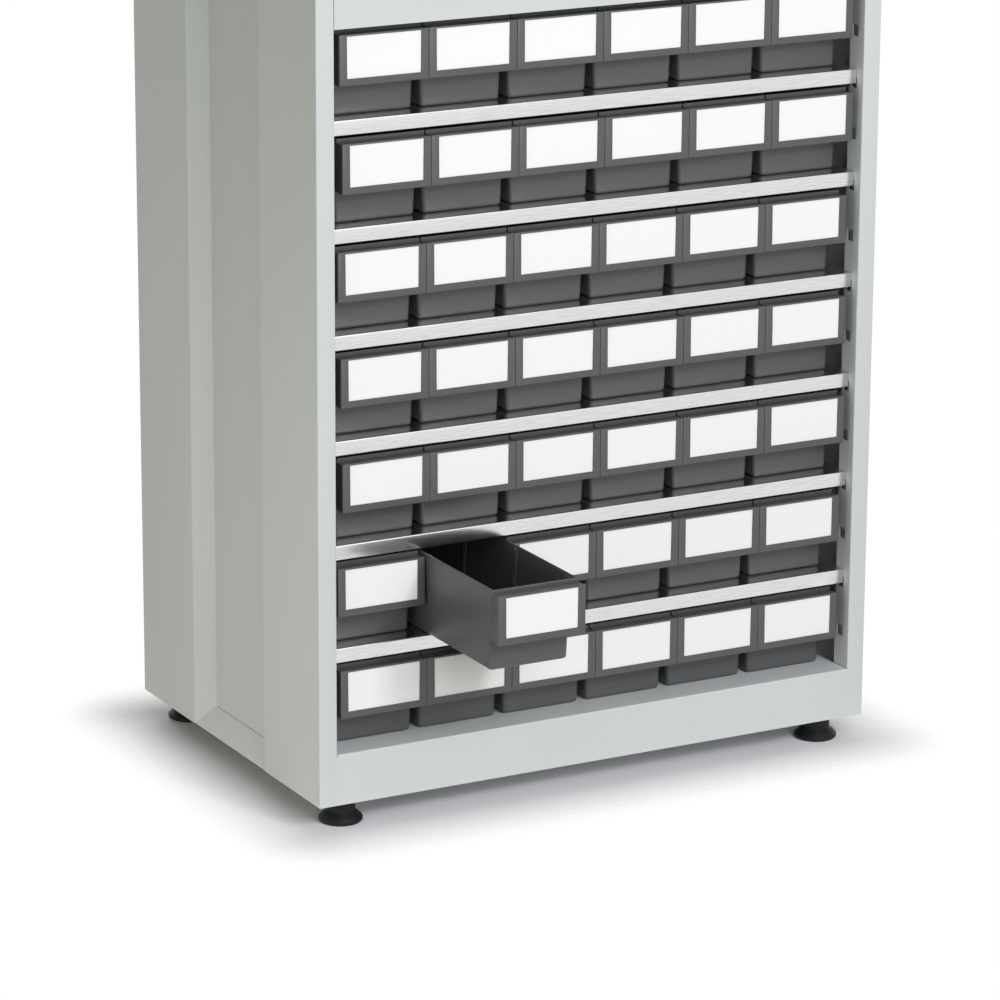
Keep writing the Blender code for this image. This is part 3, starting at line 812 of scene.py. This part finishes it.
# Polypropylene: a dark neutral grey with a waxy satin shine that brightens at a flat angle, and a tone that
# drifts a little along the moulding. Its grain is finer than this and is drawn coarse enough to show.
polypropylene = bpy.data.materials.new("dark_grey_polypropylene")
polypropylene.use_nodes = True
plastic_place = add_node(polypropylene, "ShaderNodeTexCoord").outputs["Object"]
plastic_grain = add_node(
    polypropylene,
    "ShaderNodeTexNoise",
    {"Vector": plastic_place, "Scale": 1 / PLASTIC_GRAIN},
)
plastic_cloud = add_node(
    polypropylene,
    "ShaderNodeTexNoise",
    {"Vector": plastic_place, "Scale": 1 / PLASTIC_CLOUD},
)
plastic_tone = add_node(
    polypropylene,
    "ShaderNodeMix",
    {0: plastic_cloud.outputs["Fac"], 6: linear(PLASTIC_DARK), 7: linear(PLASTIC_LIGHT)},
    data_type="RGBA",
)
plastic_gloss = add_node(
    polypropylene,
    "ShaderNodeMapRange",
    {"Value": plastic_grain.outputs["Fac"], "To Min": PLASTIC_SMOOTHEST, "To Max": PLASTIC_ROUGHEST},
)
plastic_bump = add_node(
    polypropylene,
    "ShaderNodeBump",
    {"Height": plastic_grain.outputs["Fac"], "Strength": 0.15, "Distance": PLASTIC_GRAIN_DEPTH},
)
plastic_shader = polypropylene.node_tree.nodes["Principled BSDF"]
plastic_shader.inputs["IOR"].default_value = PLASTIC_IOR
polypropylene.node_tree.links.new(plastic_tone.outputs[2], plastic_shader.inputs["Base Color"])
polypropylene.node_tree.links.new(plastic_gloss.outputs["Result"], plastic_shader.inputs["Roughness"])
polypropylene.node_tree.links.new(plastic_bump.outputs["Normal"], plastic_shader.inputs["Normal"])

deselect()
drawer_names = [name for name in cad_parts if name.startswith("drawer_")]
drawer_places = {}
for node in drawer_names:
    low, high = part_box(node)
    drawer_places[node] = Vector(((low.x + high.x) / 2, low.y, low.z))
    piece = stand_copy("moulded_" + node, drawer, drawer_places[node])
    finish_piece(piece, polypropylene, node, "drawer_plastic", node)
bpy.data.objects.remove(drawer, do_unlink=True)


# Label cards
# A plain white card, cut from light board, is pushed down into the slot behind each window. The edge of the
# board is hidden by the panel, and its top stands a little below the slot's mouth.
CARD_THICKNESS = 0.35 * MM
CARD_PLAY = 0.35 * MM
CARD_TOP = 77.4 * MM
CARD_CORNER = 1.0 * MM
CARD_WHITE = "FEFCF9"
CARD_SHADE = "FAF8F5"
CARD_FIBRE = 1.2 * MM
CARD_FIBRE_DEPTH = 0.02 * MM
CARD_ROUGHNESS = 0.7
CARD_SHINE = 0.3

card_low = (CARD_PLAY - card_half, PANEL_FRONT + CARD_PLAY / 4, LABEL_BOTTOM - CARD_MARGIN + CARD_PLAY)
card_high = (card_half - CARD_PLAY, PANEL_FRONT + CARD_PLAY / 4 + CARD_THICKNESS, CARD_TOP)
card = add_cube("card", card_low, card_high)
pick("EDGE", lambda edge: along(edge, 1))
round_off(CARD_CORNER, CORNER_STEPS)

# Card board: a dull white with a trace of warmth, mottled a little by its fibres.
card_board = bpy.data.materials.new("white_card_board")
card_board.use_nodes = True
card_place = add_node(card_board, "ShaderNodeTexCoord").outputs["Object"]
card_fibre = add_node(
    card_board,
    "ShaderNodeTexNoise",
    {"Vector": card_place, "Scale": 1 / CARD_FIBRE, "Detail": 4.0},
)
card_tone = add_node(
    card_board,
    "ShaderNodeMix",
    {0: card_fibre.outputs["Fac"], 6: linear(CARD_SHADE), 7: linear(CARD_WHITE)},
    data_type="RGBA",
)
card_bump = add_node(
    card_board,
    "ShaderNodeBump",
    {"Height": card_fibre.outputs["Fac"], "Strength": 0.1, "Distance": CARD_FIBRE_DEPTH},
)
card_shader = card_board.node_tree.nodes["Principled BSDF"]
card_shader.inputs["Roughness"].default_value = CARD_ROUGHNESS
card_shader.inputs["Specular IOR Level"].default_value = CARD_SHINE
card_board.node_tree.links.new(card_tone.outputs[2], card_shader.inputs["Base Color"])
card_board.node_tree.links.new(card_bump.outputs["Normal"], card_shader.inputs["Normal"])

deselect()
for node, place in drawer_places.items():
    finish_piece(stand_copy("label_card_" + node[len("drawer_"):], card, place), card_board, node, "card")
bpy.data.objects.remove(card, do_unlink=True)


# Studio
# The cabinet stands on a pale floor that keeps its soft shadow and fades into a white surround. A small lamp
# at the front right gives the shadow of the open drawer. Broad soft lamps stand at the front and the back, a
# low one lights the left side, and an even surround light fills in.
FLOOR_REACH = 3.0
FLOOR_SIDES = 96
FLOOR_FADE = 0.09
FLOOR_WHITE = "FAFAFA"
FLOOR_ROUGHNESS = 0.9
AMBIENT = 0.285
AMBIENT_TINT = "FAFFF4"
LAMP_TINT = "F6F7FF"
FILL_TINT = "FFFCEE"
CABINET_MIDDLE = (0.0, 0.0, 0.4)
LOW_LEFT = (-0.3, -0.1, 0.15)

deselect()
bpy.ops.mesh.primitive_circle_add(vertices=FLOOR_SIDES, radius=FLOOR_REACH, fill_type="NGON")
floor = bpy.context.object
floor.name = "studio_floor"

# Floor paint: a dull white that shows only the cabinet's shadow and thins out to nothing a hand's width away.
floor_paint = bpy.data.materials.new("white_studio_floor")
floor_paint.use_nodes = True
floor_place = add_node(floor_paint, "ShaderNodeTexCoord").outputs["Object"]
footprint_middle = (0.0, (front_y + back_y) / 2, 0.0)
footprint_half = (half_width, cabinet_depth / 2, 0.0)
from_middle = add_node(
    floor_paint,
    "ShaderNodeVectorMath",
    {0: floor_place, 1: footprint_middle},
    operation="SUBTRACT",
)
both_sides = add_node(floor_paint, "ShaderNodeVectorMath", {0: from_middle.outputs[0]}, operation="ABSOLUTE")
past_edge = add_node(
    floor_paint,
    "ShaderNodeVectorMath",
    {0: both_sides.outputs[0], 1: footprint_half},
    operation="SUBTRACT",
)
outside = add_node(
    floor_paint,
    "ShaderNodeVectorMath",
    {0: past_edge.outputs[0], 1: (0.0, 0.0, 0.0)},
    operation="MAXIMUM",
)
from_cabinet = add_node(floor_paint, "ShaderNodeVectorMath", {0: outside.outputs[0]}, operation="LENGTH")
floor_fade = add_node(
    floor_paint,
    "ShaderNodeMapRange",
    {"Value": from_cabinet.outputs["Value"], "From Min": 0.0, "From Max": FLOOR_FADE},
    interpolation_type="SMOOTHSTEP",
)
floor_shader = floor_paint.node_tree.nodes["Principled BSDF"]
floor_shader.inputs["Base Color"].default_value = linear(FLOOR_WHITE)
floor_shader.inputs["Roughness"].default_value = FLOOR_ROUGHNESS
floor_shader.inputs["Specular IOR Level"].default_value = 0.0
floor_clear = add_node(floor_paint, "ShaderNodeBsdfTransparent")
floor_mix = add_node(
    floor_paint,
    "ShaderNodeMixShader",
    {0: floor_fade.outputs["Result"], 1: floor_shader.outputs["BSDF"], 2: floor_clear.outputs["BSDF"]},
)
floor_surface = floor_paint.node_tree.nodes["Material Output"].inputs["Surface"]
floor_paint.node_tree.links.new(floor_mix.outputs["Shader"], floor_surface)
floor.data.materials.append(floor_paint)

world = bpy.data.worlds.new("white_surround")
bpy.context.scene.world = world
world.use_nodes = True
ray = add_node(world, "ShaderNodeLightPath")
seen = add_node(
    world,
    "ShaderNodeMath",
    {0: ray.outputs["Is Camera Ray"], 1: ray.outputs["Is Glossy Ray"]},
    operation="MAXIMUM",
)
seen_through = add_node(
    world,
    "ShaderNodeMath",
    {0: seen.outputs["Value"], 1: ray.outputs["Is Transmission Ray"]},
    operation="MAXIMUM",
)
soft_light = world.node_tree.nodes["Background"]
soft_light.inputs["Color"].default_value = linear(AMBIENT_TINT)
soft_light.inputs["Strength"].default_value = AMBIENT
white_light = add_node(world, "ShaderNodeBackground", {"Color": (1.0, 1.0, 1.0, 1.0), "Strength": 1.0})
world_mix = add_node(
    world,
    "ShaderNodeMixShader",
    {
        0: seen_through.outputs["Value"],
        1: soft_light.outputs["Background"],
        2: white_light.outputs["Background"],
    },
)
world_surface = world.node_tree.nodes["World Output"].inputs["Surface"]
world.node_tree.links.new(world_mix.outputs["Shader"], world_surface)


def add_lamp(name, place, aim, size, power, colour):
    """Hang a square soft lamp and turn it to a point."""
    lamp = bpy.data.lights.new(name, "AREA")
    lamp.size = size
    lamp.energy = power
    lamp.color = linear(colour)[:3]
    lamp_object = bpy.data.objects.new(name, lamp)
    lamp_object.location = place
    lamp_object.rotation_euler = (Vector(aim) - Vector(place)).to_track_quat("-Z", "Y").to_euler()
    bpy.context.scene.collection.objects.link(lamp_object)


add_lamp("key_lamp", place=(0.55, -2.8, 1.85), aim=CABINET_MIDDLE, size=0.45, power=22.5, colour=LAMP_TINT)
add_lamp("front_lamp", place=(-0.2, -3.0, 1.6), aim=CABINET_MIDDLE, size=2.2, power=59.0, colour=LAMP_TINT)
add_lamp("fill_lamp", place=(-1.0, -0.3, 0.15), aim=LOW_LEFT, size=0.5, power=1.7, colour=FILL_TINT)
add_lamp("back_lamp", place=(0.7, 3.0, 1.4), aim=CABINET_MIDDLE, size=2.0, power=40.0, colour=LAMP_TINT)


# Camera
# A long lens looks down at the front left of the cabinet, as in the photograph, so that its upright edges
# stay almost parallel.
CAMERA_AZIMUTH = math.radians(28.41)
CAMERA_ELEVATION = math.radians(16.12)
CAMERA_ROLL = math.radians(0.32)
CAMERA_DISTANCE = 4.541
CAMERA_AIM = Vector((-0.0394, 0.0, 0.2587))
SENSOR_WIDTH = 36.0
FOCAL_PIXELS = 4677.0
IMAGE_PIXELS = 1000.0

camera_data = bpy.data.cameras.new("camera")
camera_data.sensor_width = SENSOR_WIDTH
camera_data.lens = FOCAL_PIXELS / IMAGE_PIXELS * SENSOR_WIDTH
camera = bpy.data.objects.new("camera", camera_data)
bpy.context.scene.collection.objects.link(camera)
level_reach = math.cos(CAMERA_ELEVATION)
towards_camera = Vector(
    (
        -math.sin(CAMERA_AZIMUTH) * level_reach,
        -math.cos(CAMERA_AZIMUTH) * level_reach,
        math.sin(CAMERA_ELEVATION),
    )
)
camera.location = CAMERA_AIM + towards_camera * CAMERA_DISTANCE
level_view = (-towards_camera).to_track_quat("-Z", "Y")
camera.rotation_euler = (level_view @ Quaternion((0.0, 0.0, 1.0), CAMERA_ROLL)).to_euler()
bpy.context.scene.camera = camera
bpy.context.scene.view_settings.view_transform = "Standard"
